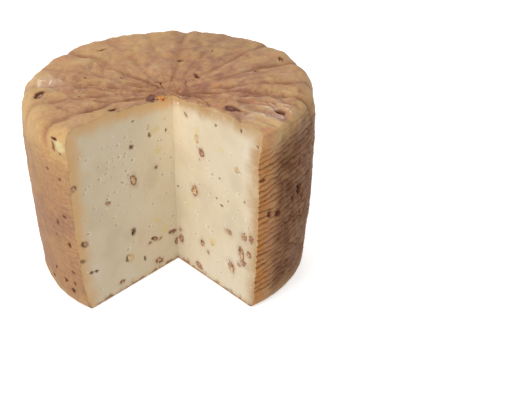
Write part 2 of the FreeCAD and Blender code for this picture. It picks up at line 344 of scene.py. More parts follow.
def folds(b, r, z):
    """Depth of the folds of the cloth, and the painted shade along their creases."""
    x, y = plan(b, r)
    swirl = FOLD_SWIRL * (1 - r / FLAT_RADIUS) * ripple(b, 3, 0.7)
    swirl = swirl + 4 * noise(x, y, 0, 26, 11.5) * fade(r, 60, 90)
    edges = np.array([CREASES[-1] - 360.0, *CREASES, CREASES[0] + 360.0])
    wrapped = (b + swirl) % 360
    lobe = np.searchsorted(edges, wrapped, side="right") - 1
    start, end = edges[lobe], edges[lobe + 1]
    lobe = (lobe - 1) % len(CREASES)
    across = np.clip((wrapped - start) / (end - start), 0, 1)
    share = CREASE_SHARES[lobe - 1] * fade(across, 0, 1) + CREASE_SHARES[lobe] * ease(across, 0, 1)
    dome = 1 - share * (1 - np.sin(np.pi * across) ** 0.6)
    pleat = np.abs(np.sin(np.pi * (2 + lobe % 2) * across + 0.6 * np.sin(lobe)))
    unevenness = 0.8 + 0.2 * np.sin(1.9 * lobe)
    depth = FOLD_DEPTH * unevenness * (1 - dome) + 0.5 * PLEAT_DEPTH * (1 - pleat)
    grows_out = 0.25 + 0.75 * ease(r, 0.3 * FLAT_RADIUS, FLAT_RADIUS)
    off_middle = ease(r, 0.04 * FLAT_RADIUS, 0.25 * FLAT_RADIUS)
    runs_out = fade(TOP - z, 0.4 * SHOULDER_DROP, FOLD_RUN_DOWN)
    calm = ease(r, 70, 88)
    comes_and_goes = np.clip(0.75 + 1.1 * noise(x, y, 0, 19, 14.5), 0.15, 1.25)
    comes_and_goes = comes_and_goes * (1 - calm) + 0.95 * calm
    off_crease = np.minimum(across, 1 - across) * np.radians(end - start) * r
    line = bell(off_crease, 2.3) * share * comes_and_goes * (1 - 0.5 * ease(r, 70, 90))
    return depth * grows_out * off_middle * runs_out * comes_and_goes, line * runs_out


def wrinkles(b, r, z):
    """Depth of the finer wrinkles of the cloth, and the painted shade along their creases."""
    x, y = plan(b, r)
    stray = 9 * noise(x, y, 0, 22, 0.3) + 3 * noise(x, y, 0, 8, 5.3)
    gone = np.clip(0.6 + 1.2 * noise(x, y, 0, 15, 6.4), 0, 1.2)
    left = about(b, 198, 42) * ease(r, 16, 34) * fade(r, 76, 90)
    right = 1.3 * about(b, 335, 26) * ease(r, 16, 28) * fade(r, 88, 98)
    behind = 0.25 * ease(r, 20, 40) * fade(r, 50, 80)

    broad = noise(*plan(b + stray, 4.6), r / 26)
    narrow = noise(*plan(b + stray, 8), r / 16 + 5)
    aside = np.radians(turned(b, 330)) * r
    at_lip = noise((aside + 5 * noise(r / 14, aside / 30, 8.8)) / 11, r / 45, 3.3)
    across = noise(r / 8 + noise(x, y, 0, 11, 2.2), *plan(b, 4))
    knot = noise(x / 7.5 + noise(x, y, 0, 9, 3.1), y / 7.5, 1.7)

    by_lip = about(b, 333, 20) * ease(r, 34, 52) * fade(r, 92, 100)
    narrow_share = np.clip(0.9 * left + 0.8 * right, 0, 1) * (1.3 - gone) * ease(r, 24, 44)
    across_share = (left + 0.6 * right) * np.clip(0.7 + noise(x, y, 0, 13, 17.1), 0, 1)

    depth, line = 0, 0
    # each kind: its wave, its share here, its depth and width, and the darkness and width of its line of
    # painted shade
    for wave, strength, deep, wide, dark, thin in (
        (broad, np.clip(left + right + behind, 0, 1.3) * gone, 2.2, 0.5, 0.9, 0.13),
        (at_lip, by_lip, 2.6, 0.5, 0.9, 0.12),
        (narrow, narrow_share, 0.6, 0.5, 0.4, 0.14),
        (across, across_share, 1.1, 0.42, 0.7, 0.12),
        (knot, fade(r, 14, 32), 1.4, 0.4, 0.8, 0.13),
    ):
        depth = depth + deep * pillow(wave, wide) * strength
        line = line + dark * pillow(wave, thin) * strength
    runs_out = fade(TOP - z, 0.2 * SHOULDER_DROP, 0.9 * SHOULDER_DROP)
    return depth * runs_out, np.clip(line, 0, 1) * runs_out


def rib_rise(b):
    """How much higher the ribs begin beside the right cut."""
    return 8 * about(b, 335, 32)


def ribs(b, z):
    """Depth of the grooves between the basket's ribs, and the painted shade in them."""
    x, y = plan(b, CREST_RADIUS)
    wander = RIB_WANDER * ripple(b, 4, 1.1) + 4 * about(b, 308, 14)
    kink = 1.9 * noise(x / 10, y / 10, z / 7) + 0.8 * noise(x / 3.8, y / 3.8, z / 4)
    share = ((z + wander + kink) / RIB_PITCH) % 1
    rib = ease(share, 0, 0.28) * (1 - 0.5 * share) * fade(share, 0.80, 1)
    strength = 0.63 + 0.37 * np.cos(np.radians(b - 5))
    strength = strength * (0.9 + 0.6 * noise(x / 9, y / 9, z / 6 + 9))
    strength = strength * ease(SIDE_TOP + rib_rise(b) - z, -3, 7)
    strength = strength * ease(z, RIB_CLEAR_OF_FOOT, 3 * RIB_CLEAR_OF_FOOT)
    # painted shade in the grooves
    groove = np.clip(1.1 - 1.7 * rib, 0, 1)
    return RIB_DEPTH * (1 - rib / 0.86) * strength, groove * np.clip(strength, 0, 1)


# the rind's marks; those of the creases, the rib grooves, the deep side pits and the hollows of the
# folds are painted shade
MARKS = ("gloss", "crease", "groove", "pit", "hole", "valley_shade", "patch")


def relief(b, r, z, out):
    """How far the skin lies under its crests, and the marks in it."""
    x, y = plan(b, r)
    upper = ease(z, SIDE_TOP - 12, SIDE_TOP)
    fold, crease = folds(b, r, z)
    wrinkle, line = wrinkles(b, r, z)
    rib, groove = ribs(b, z)
    dimple = SIDE_DIMPLE * (0.5 + 0.5 * ripple(b, 5, z / 23)) * out
    lump = 0.7 * rough(x / 17, y / 17, z / 17, 2)
    lump = lump + 0.5 * noise(x, y, z, 6.5, 3) * fade(out, 0.5, 1)
    grain = 0.16 * rough(x / 2.6, y / 2.6, z / 2.6, 3)
    top_depth, top_dark = top_pits(x, y)
    side_depth, side_dark, side_black_shade = side_pits(b, z)
    on_top = fade(out, 0.2, 0.9)
    on_side = ease(out, 0.3, 1)
    pit = top_depth * on_top + side_depth * (1 - on_top)
    pit_dark = top_dark * on_top + side_dark * (1 - on_top)
    patch = pale_patch(b, z) * ease(out, 0.1, 0.4)
    hollow = fold + wrinkle + rib * on_side + dimple + lump + grain + pit - 0.5 * patch
    oily = 0.05 + 0.5 * noise(x, y, z, 20, 40)
    oily = oily + about(b, 328, 16) * bell(r - 84, 14)
    oily = oily + about(b, 183, 9) * bell(r - 82, 9)
    gloss = np.clip(oily, 0.05, 1) * (0.25 + 0.75 * upper) * (1 - pit_dark)
    # painted shade along the creases of the folds and wrinkles
    creases = np.clip(crease * 0.8 + line, 0, 1) * upper
    # painted shade in the deep side pits
    hole = 0.95 * side_black_shade * (1 - on_top)
    # painted shade, deeper where the folds and wrinkles are deeper
    valley_shade = np.clip((fold + wrinkle) / 3.2, 0, 1) * upper
    values = (gloss, creases, groove * on_side, pit_dark, hole, valley_shade, patch)
    return hollow, dict(zip(MARKS, values))


def lip_swell(b, z):
    """How far the shoulder stands out over the side, beside the two cuts."""
    total = sum(swell * about(b, centre, LIP_SPREAD) for centre, swell, _ in LIPS)
    return total * bell(z - TOP + LIP_DROP, LIP_HEIGHT)


def lip_filling(b, out, up):
    """How far the shoulder's round is filled out and up towards a square corner by the cuts."""
    near = 0
    for centre, _, square in LIPS:
        near = np.maximum(near, square * about(b, centre, LIP_SPREAD))
    near = near * (up > 0)
    return SHOULDER_WIDTH * (out**0.25 - out) * near, SHOULDER_DROP * (up**0.25 - up) * near


def sunk(b, r, z):
    """How far the leaning top lies under its highest side here."""
    lean = np.cos(np.radians(b - TOP_SWELL_BEARING))
    share = np.minimum(r / FLAT_RADIUS, 1)
    return TOP_SWELL * (0.5 - 0.5 * lean * share) * ease(z, TOP / 2, TOP)


def top_height(b, r, hollow):
    """Height of the flat of the top, with its navel."""
    return TOP - hollow - NAVEL_DEPTH * fade(r, 0, NAVEL_RADIUS) - sunk(b, r, TOP)


# ---- the skin, in upright half-planes
def reach(direction, radius):
    """Distance from the notch's corner to a radius about the axis, along a direction in plan."""
    dx, dy = plan(direction, 1)
    along = CORNER[0] * dx + CORNER[1] * dy
    return -along + np.sqrt(along**2 - CORNER[0] ** 2 - CORNER[1] ** 2 + radius**2)


def place(direction, distance):
    """Points in plan at distances t from the notch's corner, with their bearings and radii."""
    dx, dy = plan(direction, distance)
    x, y = CORNER[0] + dx, CORNER[1] + dy
    return {"t": distance, "x": x, "y": y, "b": np.degrees(np.arctan2(y, x)) % 360, "r": np.hypot(x, y)}


def top_rows(direction, shares):
    """The flat of the top: shares of the way from the notch's corner to the shoulder."""
    rows = place(direction, np.outer(shares, reach(direction, FLAT_RADIUS)))
    b, r = rows["b"], rows["r"]
    hollow, marks = relief(b, r, np.full(r.shape, TOP), np.zeros(r.shape))
    return {**rows, "z": top_height(b, r, hollow), **marks}


def outer_rows(direction, *stations):
    """The shoulder, side and foot, from rows of radius, height, out and up."""
    plain_r, plain_z, out, up = np.concatenate(stations, axis=1)[..., None]
    r = plain_r + 0 * direction
    for _ in range(3):  # each time nearer, because the bearing depends on the radius
        b = place(direction, reach(direction, r))["b"]
        hollow, marks = relief(b, plain_r + 0 * b, plain_z + 0 * b, out + 0 * b)
        fill_out, fill_up = lip_filling(b, out, up)
        r = plain_r + fill_out + lip_swell(b, plain_z) * out**0.4 - hollow * out
    rows = place(direction, reach(direction, r))
    z = plain_z + fill_up - hollow * up - sunk(rows["b"], plain_r, plain_z)
    return {**rows, "z": z, **marks}


def shoulder_stations(count):
    turn = math.pi / 2 * np.arange(count) / count
    out, up = np.sin(turn), np.cos(turn)
    radius = FLAT_RADIUS + SHOULDER_WIDTH * out
    return np.stack([radius, SIDE_TOP + SHOULDER_DROP * up, out, up])


def side_stations(start, end, count):
    """From the height start down to the height end, both on the side."""
    height = np.linspace(start, end, count)
    share = (SIDE_TOP - height) / (SIDE_TOP - FOOT_ROUND_HEIGHT)
    bulge = 4 * SIDE_BULGE * share * (1 - share)
    radius = CREST_RADIUS + (FOOT_RADIUS - CREST_RADIUS) * share + bulge
    return np.stack([radius, height, np.ones(count), np.zeros(count)])


def foot_stations(count):
    turn = math.pi / 2 * np.arange(1, count + 1) / count
    out = np.cos(turn)
    radius = FOOT_RADIUS - FOOT_ROUND_WIDTH + FOOT_ROUND_WIDTH * out
    return np.stack([radius, FOOT_ROUND_HEIGHT * (1 - np.sin(turn)), out, np.zeros(count)])


def flat_rows(direction, distance, shares, height):
    """Plain inner rows at one height, from the skin back to the notch's corner."""
    rows = place(direction, np.outer(shares, distance))
    still = np.zeros(rows["x"].shape)
    return {**rows, "z": height + still, **dict.fromkeys(MARKS, still)}


def join_rows(*blocks):
    return {key: np.concatenate([block[key] for block in blocks]) for key in blocks[0]}


# ---- colours of the rind
TAN = linear(204, 158, 114)
BUTTER = linear(216, 178, 120)
MAUVE = linear(162, 112, 92)
PINK = linear(186, 140, 110)
PEACH = linear(212, 150, 104)
# the colour of the painted shade in the creases
CREASE_SHADE = linear(140, 90, 64)
# dark brown of the right side: partly the rind's own colour, partly painted shade
EARTH_AND_SHADE = linear(122, 80, 52)
AMBER = linear(206, 138, 70)
# the colour of the painted shade in the rib grooves
GROOVE_SHADE = linear(64, 36, 22)
PIT_BROWN = linear(94, 52, 38)
# the darkest colour of the painted shade in deep pits
PIT_SHADE_BLACK = linear(30, 18, 12)
PIT_RIM = linear(146, 90, 58)
PALE_GREEN = linear(220, 204, 154)
RIM_TAN = linear(214, 170, 122)
SOLE_BROWN = linear(122, 86, 60)


def rind_colour(rows):
    x, y, z, b, r = (rows[key] for key in "xyzbr")
    # painted shade in the hollows of the folds
    valley_shade = rows["valley_shade"]
    cloud = rough(x / 26, y / 26, z / 26, 3)
    fine = rough(x / 7, y / 7, z / 7, 3)
    streak = noise(*plan(b, 9), r / 24)
    plain = TAN + 0 * x[..., None]

    buttery = 0.7 * ease(r, 55, 92) * (0.4 + 0.6 * about(b, 265, 95)) + 0.8 * cloud
    mauve = 0.45 * fade(r, 20, 60) + 0.8 * about(b, 350, 48) * fade(r, 60, 88)
    mauve = mauve + 0.1 * about(b, 190, 30) * fade(r, 60, 84)
    mauve = mauve + 0.8 * about(b, 68, 45) * ease(r, 25, 55)
    top = layered(
        plain, (BUTTER, buttery),
        (MAUVE, (mauve + 0.1) * (0.5 + 0.7 * cloud + 0.6 * streak + 0.4 * fine)),
        (PEACH, 0.7 * ease(noise(x, y, 0, 13, 31), 0.25, 0.7)),
        (MAUVE, 0.45 * ease(fine, 0.1, 0.8) * (1 - 0.6 * ease(r, 60, 90))),
        # the second mauve here, set by the depth of the folds, is painted shade in their hollows; the
        # butter below it, away from those hollows, is a painted highlight on the ridges
        (BUTTER, 0.4 * ease(-fine, 0.1, 0.7)), (MAUVE, 0.6 * valley_shade),
        (BUTTER, 0.35 * (1 - valley_shade) * ease(r, 30, 80) * ease(cloud, -0.4, 0.4)),
        # painted shade in the creases
        (CREASE_SHADE, 0.66 * rows["crease"]),
    )
    top = top * (1 - 0.14 * about(b, 62, 45) * ease(r, 20, 60))[..., None]

    side = layered(
        plain, (PINK, 0.5 + 0.8 * cloud + 0.7 * fine - 0.3 * ease(z, 60, 110)),
        (BUTTER, 0.6 * ease(z, 95, 120) * about(b, 215, 40)),
    )
    side = side * (1 - 0.24 * about(b, 215, 50))[..., None]
    # the right side's dark brown is partly the rind's own colour and partly painted shade on the side
    # turned away from the key light
    right = ease(turned(b, 316), 0, 8) * fade(turned(b, 345), 0, 45)
    side = layered(
        side, (EARTH_AND_SHADE, right * (0.85 + 0.3 * fine)), (AMBER, about(b, 312, 6) * (0.7 + 0.4 * fine)),
        # painted shade in the rib grooves, weaker on the left
        (GROOVE_SHADE, 0.8 * rows["groove"] * (1 - 0.65 * about(b, 215, 50))),
        (BUTTER, 0.5 * bell(z, 9)),
    )

    patchy = 7 * noise(x, y, z, 12, 21) - rib_rise(b)
    return layered(
        side, (top, ease(z + patchy, SIDE_TOP - 20, SIDE_TOP + 4)), (PALE_GREEN, 0.85 * rows["patch"]),
        (PIT_RIM, rows["pit"] * 1.2), (PIT_BROWN, (rows["pit"] - 0.45) * 2.4),
        # painted shade in the deep pits
        (PIT_SHADE_BLACK, rows["hole"]),
    )


# ---- meshes
UPRIGHT = np.array([0.0, 0.0, 1.0])
to_scene = bpy.context.scene.collection.objects.link
CORNER_FOOT = np.array([*CORNER, 0.0])


def heading(bearing):
    """The level direction at a bearing."""
    return np.array([*plan(bearing, 1.0), 0.0])


def make_object(name, points, faces, material, attributes, sharp=()):
    """A closed smooth mesh with values at its points. Points are in millimetres."""
    mesh = bpy.data.meshes.new(name)
    mesh.from_pydata((points * MM).tolist(), [], faces)
    for key, values in attributes.items():
        kind, field = "FLOAT", "value"
        if values.ndim == 2:
            kind, field = "FLOAT_COLOR", "color"
            values = np.append(values, np.ones((len(values), 1)), axis=1)
        mesh.attributes.new(key, kind, "POINT").data.foreach_set(field, values.ravel())
    mesh.polygons.foreach_set("use_smooth", [True] * len(mesh.polygons))
    flagged = np.zeros(len(points), bool)
    flagged[list(sharp)] = True
    ends = np.zeros(2 * len(mesh.edges), int)
    mesh.edges.foreach_get("vertices", ends)
    layer = mesh.attributes.new("sharp_edge", "BOOLEAN", "EDGE")
    layer.data.foreach_set("value", flagged[ends].reshape(-1, 2).all(axis=1))
    mesh.materials.append(material)
    mesh.update()
    obj = bpy.data.objects.new(name, mesh)
    to_scene(obj)
    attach(obj, "root")
    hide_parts(NODE)


def fan(centre, loop):
    return [(centre, *pair) for pair in zip(loop, loop[1:] + loop[:1])]


def band(first, second):
    return list(zip(first, second, second[1:] + second[:1], first[1:] + first[:1]))


def grid_faces(index, rows_first):
    """Faces over a grid of point numbers, wound along its rows first or its columns first."""
    down, along = index[1:, :-1], index[:-1, 1:]
    second, last = (along, down) if rows_first else (down, along)
    corners = np.stack([index[:-1, :-1], second, index[1:, 1:], last], axis=-1)
    return corners.reshape(-1, 4).tolist()


def notched_body(name, rows, top_height, foot_height, seam_row):
    """A closed body from rows that run out from the notch's corner, down and back to it."""
    index = np.arange(rows["x"].size).reshape(rows["x"].shape)
    upper_corner, lower_corner = index.size, index.size + 1
    points = np.stack([rows[key].ravel() for key in "xyz"], axis=1)
    points = np.concatenate([points, [(*CORNER, top_height), (*CORNER, foot_height)]])
    colour = rind_colour(rows).reshape(-1, 3)
    colour = np.concatenate([colour, colour[[0, index[-1, 0]]]])
    faces = grid_faces(index, False)
    upper, lower = index[0].tolist(), index[-1].tolist()
    for k in range(len(upper) - 1):
        faces += [(upper_corner, upper[k], upper[k + 1]), (lower_corner, lower[k + 1], lower[k])]

    sharp = index[seam_row].tolist()
    for column, cut in ((0, RIGHT), (-1, LEFT)):
        outline = [upper_corner, *index[:, column].tolist(), lower_corner]
        first, size = len(points), len(outline)
        ring = points[outline]
        middle = (ring.min(axis=0) + ring.max(axis=0)) / 2
        inward = middle - ring
        inward /= np.linalg.norm(inward, axis=1)[:, None]
        rim = ring + RIND * inward - RIM_SINK * cut.normal
        pocket = rim - POCKET_DEPTH * cut.normal
        centre = middle - (POCKET_DEPTH + POCKET_DISH) * cut.normal
        points = np.concatenate([points, rim, pocket, [centre]])
        low_down = fade(np.append(np.tile(ring[:, 2], 2), 0), 1, 6)
        colour = np.concatenate([colour, layered(RIM_TAN, (SOLE_BROWN, low_down))])
        rim_loop = list(range(first, first + size))
        pocket_loop = [number + size for number in rim_loop]
        sharp += outline + rim_loop
        cap = band(outline, rim_loop) + band(rim_loop, pocket_loop) + fan(first + 2 * size, pocket_loop)
        faces += cap if cut.turn > 0 else [face[::-1] for face in cap]

    gloss = np.append(rows["gloss"], np.zeros(len(points) - index.size))
    make_object(name, points, faces, RIND_LOOK, {"tone": colour, "gloss": gloss}, sharp)


# ---- materials
def feed(node, inputs):
    """Link a node's inputs to sockets, or set them to numbers and colours."""
    for key, value in inputs.items():
        socket = node.inputs[key]
        if isinstance(value, bpy.types.NodeSocket):
            node.id_data.links.new(value, socket)
        else:
            socket.default_value = (*value, 1.0) if socket.type == "RGBA" else value


def add_node(tree, kind, inputs):
    node = tree.nodes.new("ShaderNode" + kind)
    feed(node, inputs)
    return node


def new_material(name):
    material = bpy.data.materials.new(name)
    material.use_nodes = True
    tree = material.node_tree
    return material, tree, tree.nodes["Principled BSDF"]


def attribute(tree, name, kind="Color"):
    node = add_node(tree, "Attribute", {})
    node.attribute_name = name
    return node.outputs[kind]


def noise_node(tree, scale, detail, roughness, distortion=0):
    at = add_node(tree, "TexCoord", {}).outputs["Object"]
    node = add_node(tree, "TexNoise", {
        "Vector": at, "Scale": scale, "Detail": detail, "Roughness": roughness, "Distortion": distortion,
    })
    return node.outputs["Fac"]


def ranged(value, from_low, from_high, to_low, to_high):
    node = add_node(value.id_data, "MapRange", {
        "Value": value, "From Min": from_low, "From Max": from_high, "To Min": to_low, "To Max": to_high,
    })
    return node.outputs["Result"]


def mixed(share, first, second):
    node = add_node(share.id_data, "Mix", {})
    node.data_type = "RGBA"
    feed(node, {"Factor": share, 6: first, 7: second})
    return node.outputs[2]


def maths(operation, first, second):
    node = add_node(first.id_data, "Math", {0: first, 1: second})
    node.operation = operation
    return node.outputs[0]


def bump(height, strength, distance, under=None):
    inputs = {"Strength": strength, "Distance": distance, "Height": height}
    node = add_node(height.id_data, "Bump", inputs)
    if under is not None:
        feed(node, {"Normal": under})
    return node.outputs["Normal"]


def rind_material():
    material, tree, shader = new_material("oiled_rind")
    mottle = noise_node(tree, 330, 4, 0.6, 0.6)
    speck = noise_node(tree, 1500, 2, 0.5)
    gloss = attribute(tree, "gloss", "Fac")
    tone = attribute(tree, "tone")
    tone = mixed(ranged(mottle, 0.32, 0.55, 0.25, 0), tone, linear(150, 100, 70))
    tone = mixed(ranged(mottle, 0.5, 0.75, 0, 0.22), tone, linear(224, 184, 132))
    tone = mixed(ranged(speck, 0.62, 0.74, 0, 0.35), tone, linear(118, 74, 48))
    pores = bump(noise_node(tree, 700, 4, 0.6), 0.5, 0.0005)
    feed(shader, {
        "Base Color": tone,
        "Roughness": ranged(mottle, 0.3, 0.7, 0.42, 0.64),
        "Specular IOR Level": ranged(gloss, 0, 1, 0.06, 0.36),
        "Coat Weight": ranged(gloss, 0.35, 1, 0, 0.65),
        "Coat Roughness": 0.1,
        "Subsurface Weight": 0.12,
        "Subsurface Radius": (1, 0.6, 0.35),
        "Subsurface Scale": 0.002,
        "Normal": bump(noise_node(tree, 2400, 2, 0.5), 0.35, 0.0002, pores),
    })
    return material


def paste_material():
    material, tree, shader = new_material("cheese_paste")
    cloud = noise_node(tree, 60, 3, 0.5)
    grain = noise_node(tree, 900, 3, 0.6)
    tone = attribute(tree, "tone")
    tone = mixed(ranged(cloud, 0.40, 0.65, 0, 0.22), tone, linear(226, 206, 170))
    tone = mixed(ranged(grain, 0.32, 0.50, 0.16, 0), tone, linear(196, 176, 140))
    soft = bump(noise_node(tree, 450, 3, 0.55), 0.3, 0.0003)
    feed(shader, {
        "Base Color": tone,
        "Roughness": ranged(cloud, 0.3, 0.7, 0.5, 0.66),
        "Specular IOR Level": 0.3,
        "Subsurface Weight": 0.25,
        "Subsurface Radius": (1, 0.7, 0.45),
        "Subsurface Scale": 0.003,
        "Normal": bump(grain, 0.25, 0.0002, soft),
    })
    return material


def chip_material(name, middle, skin, vein, skin_rim, roughness):
    """A chip: its middle colour inside, its skin colour towards the rim, and veins of a third."""
    material, tree, shader = new_material(name)
    wander = noise_node(tree, 340, 3, 0.6)
    veins = noise_node(tree, 900, 2, 0.6, 0.8)
    edge = attribute(tree, "edge", "Fac")
    outwards = maths("ADD", edge, ranged(wander, 0.35, 0.65, -0.9, 0.9))
    share = ranged(outwards, *skin_rim, 0, 1)
    colour = mixed(share, linear(*middle), linear(*skin))
    feed(shader, {
        "Base Color": mixed(ranged(veins, 0.52, 0.62, 0, 0.8), colour, linear(*vein)),
        "Roughness": ranged(wander, 0.3, 0.7, *roughness),
        "Normal": bump(wander, 0.4, 0.0004),
    })
    return material


RIND_LOOK = rind_material()
PASTE_LOOK = paste_material()


# ---- the two cuts
def cut_face(name, bearing, turn, **more):
    """A cut face: where it runs, which way it looks, and what shows in it."""
    normal = heading(bearing - 90 * turn)
    return SimpleNamespace(
        name=name, bearing=bearing, turn=turn, ahead=heading(bearing), normal=normal, **more
    )


# tears: how many, and the share of them in the outer upper part. Honey: the colour under the rind.
# rind_shown: width of rind that the slab leaves uncovered. Smoothing: reach over the ribs' outline.
LEFT = cut_face(
    "cheese_paste_left", 270 - 36.6, -1, seed=21, holes=LEFT_HOLES, chips=LEFT_CHIPS,
    kernels=LEFT_KERNELS, lemons=LEFT_LEMONS, crystals=26, tears=(80, 0.7),
    honey=linear(226, 180, 122), honey_width=13, rind_shown=0.1, smoothing=0.8,
)
RIGHT = cut_face(
    "cheese_paste_right", -90 + 42.8, 1, seed=22, holes=RIGHT_HOLES, chips=RIGHT_CHIPS,
    kernels=RIGHT_KERNELS, lemons=RIGHT_LEMONS, crystals=18, tears=(50, 0.3),
    honey=linear(188, 148, 102), honey_width=12, rind_shown=0.3, smoothing=1,
)

# ---- the rind
directions = np.linspace(RIGHT.bearing, LEFT.bearing, COLUMNS)

top_part = top_rows(directions, np.linspace(0, 1, TOP_ROWS)[1:-1])
seam_rows = side_stations(SIDE_TOP, SEAM, SEAM_ROWS)
edge_part = outer_rows(directions, shoulder_stations(SHOULDER_ROWS), seam_rows)
under = flat_rows(directions, edge_part["t"][-1], INNER_SHARES, edge_part["z"][-1])
corner_top = float(top_part["z"][0].mean())
notched_body("cheese_rind_top", join_rows(top_part, edge_part, under), corner_top, SEAM, -3)

side_rows = side_stations(SEAM, FOOT_ROUND_HEIGHT, SIDE_ROWS)
side_part = outer_rows(directions, side_rows, foot_stations(FOOT_ROWS))
lid = flat_rows(directions, side_part["t"][0], INNER_SHARES[::-1], side_part["z"][0])
sole = flat_rows(directions, side_part["t"][-1], SOLE_SHARES, 0)
notched_body("cheese_rind_side", join_rows(lid, side_part, sole), SEAM, 0, 2)

# ---- the paste of the cut faces
CREAM = linear(229, 216, 192)
STRAW = linear(222, 206, 174)
ASH = linear(204, 190, 172)
HOLE_BROWN = linear(120, 80, 50)
# the darkest colour of the painted shade in deep holes
HOLE_SHADE_BLACK = linear(40, 26, 18)
STAIN = linear(176, 140, 116)
TEAR_SHADE = linear(150, 126, 96)
# colour of the painted highlight on the tears' lips
TEAR_HIGHLIGHT = linear(246, 240, 224)
LEMON = linear(224, 206, 120)


def lengths(line):
    """Length along a line from its start to each of its points."""
    return np.concatenate([[0], np.cumsum(np.linalg.norm(np.diff(line, axis=0), axis=1))])


def resampled(line, count):
    """The same line with a count of points, evenly apart."""
    along = lengths(line)
    wanted = np.linspace(0, along[-1], count)
    return np.stack([np.interp(wanted, along, line[:, k]) for k in (0, 1)], axis=1)


def smooth_outline(points, reach_mm):
    """The same outline with its ribs smoothed away. Its ends stay where they are."""
    line = resampled(points, int(lengths(points)[-1] / OUTLINE_STEP))
    half = int(reach_mm / OUTLINE_STEP)
    window = np.hanning(2 * half + 1)
    window /= window.sum()
    padded = np.concatenate([np.repeat(line[:1], half, 0), line, np.repeat(line[-1:], half, 0)])
    return np.stack([np.convolve(padded[:, k], window, mode="valid") for k in (0, 1)], axis=1)


def set_in(line, depth):
    """An open outline moved inwards, to its left, by a depth for each point."""
    ahead = np.gradient(line, axis=0)
    ahead /= np.linalg.norm(ahead, axis=1)[:, None]
    return line + depth[:, None] * np.stack([-ahead[:, 1], ahead[:, 0]], axis=1)


def cut_outline(bearing):
    """The wheel's outline in one upright half-plane, from the foot's middle round to the top's."""
    on_top, on_shoulder, on_side, on_foot = OUTLINE_ROWS
    one = np.array([bearing])
    side = side_stations(SIDE_TOP, FOOT_ROUND_HEIGHT, on_side)
    top = top_rows(one, np.linspace(0, 1, on_top)[:-1])
    edge = outer_rows(one, shoulder_stations(on_shoulder), side, foot_stations(on_foot))
    lines = [np.hstack([part["t"], part["z"]]) for part in (top, edge)]
    return np.concatenate([*lines, [[0, 0]]])[::-1]


def face_grid(cut):
    """Points (distance, height) all over a cut face, and their distances to its three edges."""
    line = smooth_outline(cut_outline(cut.bearing), cut.smoothing)
    ragged = ease(rough(line[:, 0] / 5, cut.rind_shown, 0.5, 3), -0.1, 0.7) * fade(line[:, 1], 1, 4)
    line = set_in(line, cut.rind_shown + 1.4 * ragged)
    line[[0, -1], 0] = -OVERLAP
    short_x, short_z = line[:, 0] - line[:, 0].max(), line[:, 1] - line[:, 1].max()
    foot_corner = np.argmin(np.hypot(short_x, line[:, 1] - 4))
    top_corner = np.argmin(np.hypot(short_x + 3, short_z + 3))
    across, upward = FACE_GRID
    bottom = resampled(line[: foot_corner + 1], across)
    outer = resampled(line[foot_corner : top_corner + 1], upward)
    top = resampled(line[top_corner:][::-1], across)
    inner = np.linspace(bottom[0], top[0], upward)
    u = np.linspace(0, 1, across)[:, None]
    v = np.linspace(0, 1, upward)[:, None, None]
    grid = (1 - v) * bottom + v * top + (1 - u) * inner[:, None] + u * outer[:, None]
    grid -= (1 - u) * (1 - v) * bottom[0] + u * (1 - v) * bottom[-1]
    grid -= (1 - u) * v * top[0] + u * v * top[-1]
    return grid, *(np.linalg.norm(grid - edge, axis=2) for edge in (top, bottom, outer[:, None]))


def holes_in(t, z, cut):
    edge = 0.4 * noise(t / 1.5, z / 1.5, cut.seed)
    spots = []
    for at, level, width, tall, deep, lean in cut.holes:
        spots.append((spot(t - at, z - level, width, tall, lean) + edge, deep))
    return pits(spots, (0.3, 1.1), (0.55, 1.2))


def stains_in(t, z, marks, seed):
    """How much the paste is stained round some marks."""
    edge = 0.5 * noise(t / 3, z / 3, seed + 6.5)
    stain = 0
    for at, level, width, tall, lean in marks:
        distance = spot(t - at, z - level, width + 1.2, tall + 1.2, lean) + edge
        stain = np.maximum(stain, fade(distance, 0.6, 1.7))
    return stain


def small_tears(t, z, seed, count, outward_share):
    """Little tears that the knife left: their depth, their shaded middles and the painted highlight on
    one side of their lips.
    """
    rng = np.random.default_rng(seed)
    depth, shade, light = np.zeros((3, *t.shape))
    for _ in range(count):
        outer_half = rng.uniform() < outward_share
        at = rng.uniform(40, 88) if outer_half else rng.uniform(3, 60)
        level = rng.uniform(58, SEAM - 3) if outer_half else rng.uniform(6, SEAM - 3)
        size = rng.uniform(0.5, 1.25)
        deep = rng.uniform(0.3, 0.9)
        lean = rng.uniform(-0.5, 0.9)
        near = (np.abs(t - at) < 5) & (np.abs(z - level) < 5)
        u = (t[near] - at) + lean * (z[near] - level)
        v = z[near] - level
        distance = np.hypot(u / size, v / (0.75 * size)) + 0.3 * noise(u, v, at)
        depth[near] = np.maximum(depth[near], deep * fade(distance, 0.3, 1.1))
        depth[near] -= 0.12 * bell(distance - 1.45, 0.3)
        shade[near] = np.maximum(shade[near], 0.5 * fade(distance, 0.5, 1.1))
        # painted highlight on one side of the lip
        lip = bell(distance - 1.5, 0.4) * ease(-u - 0.4 * v, -0.5 * size, 0.8 * size)
        light[near] = np.maximum(light[near], 0.7 * lip)
    return depth, shade, light


